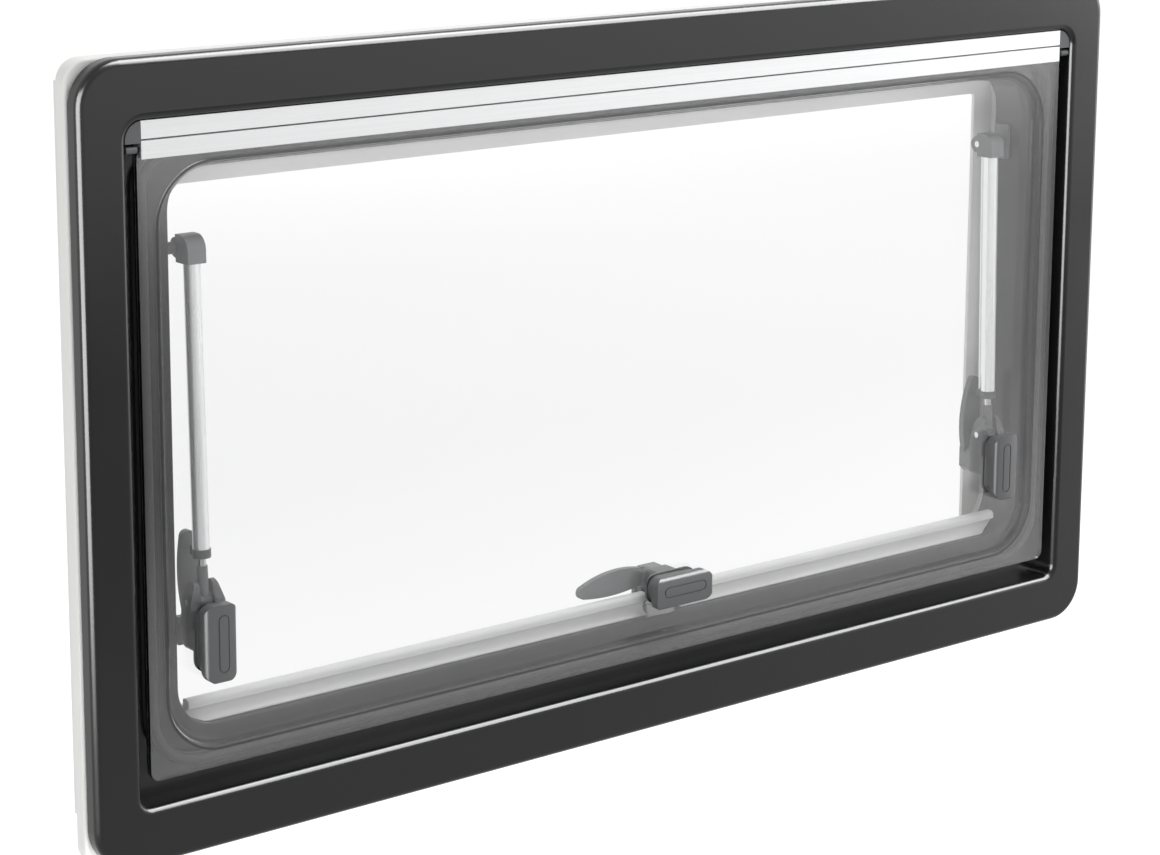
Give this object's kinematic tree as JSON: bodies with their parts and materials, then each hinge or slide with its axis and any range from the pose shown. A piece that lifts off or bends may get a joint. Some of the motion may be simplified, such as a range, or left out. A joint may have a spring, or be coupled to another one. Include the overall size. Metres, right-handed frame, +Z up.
{
  "type": "top-hung caravan window",
  "caption": "Top-hung acrylic caravan window with a black outer frame, white inner frame, hinge rail, telescopic stays and turning lever latches.",
  "frame": {"origin": "on the wall-side face of the outer frame's flange, at the middle of its lower side", "axes": "+X along the window's width, to the right seen from outside; +Z up; +Y from the wall's outer skin into the vehicle"},
  "size_m": [0.946, 0.0717, 0.546],
  "materials": {
    "frame_black": "satin black moulded foam plastic with a fine skin",
    "frame_white": "off-white moulded plastic, satin",
    "seal_rubber": "dark grey rubber profile",
    "rail_aluminium": "satin silver extrusion",
    "grey_plastic": "mid grey moulded plastic, fine grain",
    "latch_plastic": "dark grey moulded plastic, satin",
    "acrylic": "clear acrylic sheet, gloss",
    "stay_aluminium": "satin anodised tube",
    "chrome_steel": "bright plated steel"
  },
  "bodies": {
    "window": {"outer_frame": "frame_black", "inner_frame": "frame_white", "keeper_rail": "frame_white", "sash_seal": "seal_rubber", "hinge_rail_upper": "rail_aluminium", "hinge_rail_lower": "rail_aluminium", "hinge_cap_left": "grey_plastic", "hinge_cap_right": "grey_plastic", "outer_pane": "acrylic", "inner_pane": "acrylic", "latch_cap_left": "latch_plastic", "latch_cap_right": "latch_plastic", "latch_cap_centre": "latch_plastic", "latch_base_left": "latch_plastic", "latch_base_right": "latch_plastic", "latch_base_centre": "latch_plastic", "stay_bracket_left": "grey_plastic", "stay_bracket_right": "grey_plastic", "stay_elbow_left": "grey_plastic", "stay_elbow_right": "grey_plastic", "stay_tube_left": "stay_aluminium", "stay_tube_right": "stay_aluminium", "stay_collar_left": "latch_plastic", "stay_collar_right": "latch_plastic", "stay_rod_left": "chrome_steel", "stay_rod_right": "chrome_steel", "stay_end_left": "grey_plastic", "stay_end_right": "grey_plastic", "stay_strip_left": "stay_aluminium", "stay_strip_right": "stay_aluminium", "stay_pins_left": "chrome_steel", "stay_pins_right": "chrome_steel"},
    "lever_left": {"latch_lever_left": "grey_plastic"},
    "lever_right": {"latch_lever_right": "grey_plastic"},
    "lever_centre": {"latch_lever_centre": "grey_plastic"}
  },
  "joints": [
    {"name": "lever_left_turn", "type": "hinge", "parent": "window", "child": "lever_left", "pos_m": [-0.376, 0.02, 0.1335], "axis": [0, 1, 0], "range_deg": [0, 90]},
    {"name": "lever_right_turn", "type": "hinge", "parent": "window", "child": "lever_right", "pos_m": [0.376, 0.02, 0.1335], "axis": [0, -1, 0], "range_deg": [0, 90]},
    {"name": "lever_centre_turn", "type": "hinge", "parent": "window", "child": "lever_centre", "pos_m": [0.03, 0.02, 0.094], "axis": [0, 1, 0], "range_deg": [0, 90]}
  ]
}
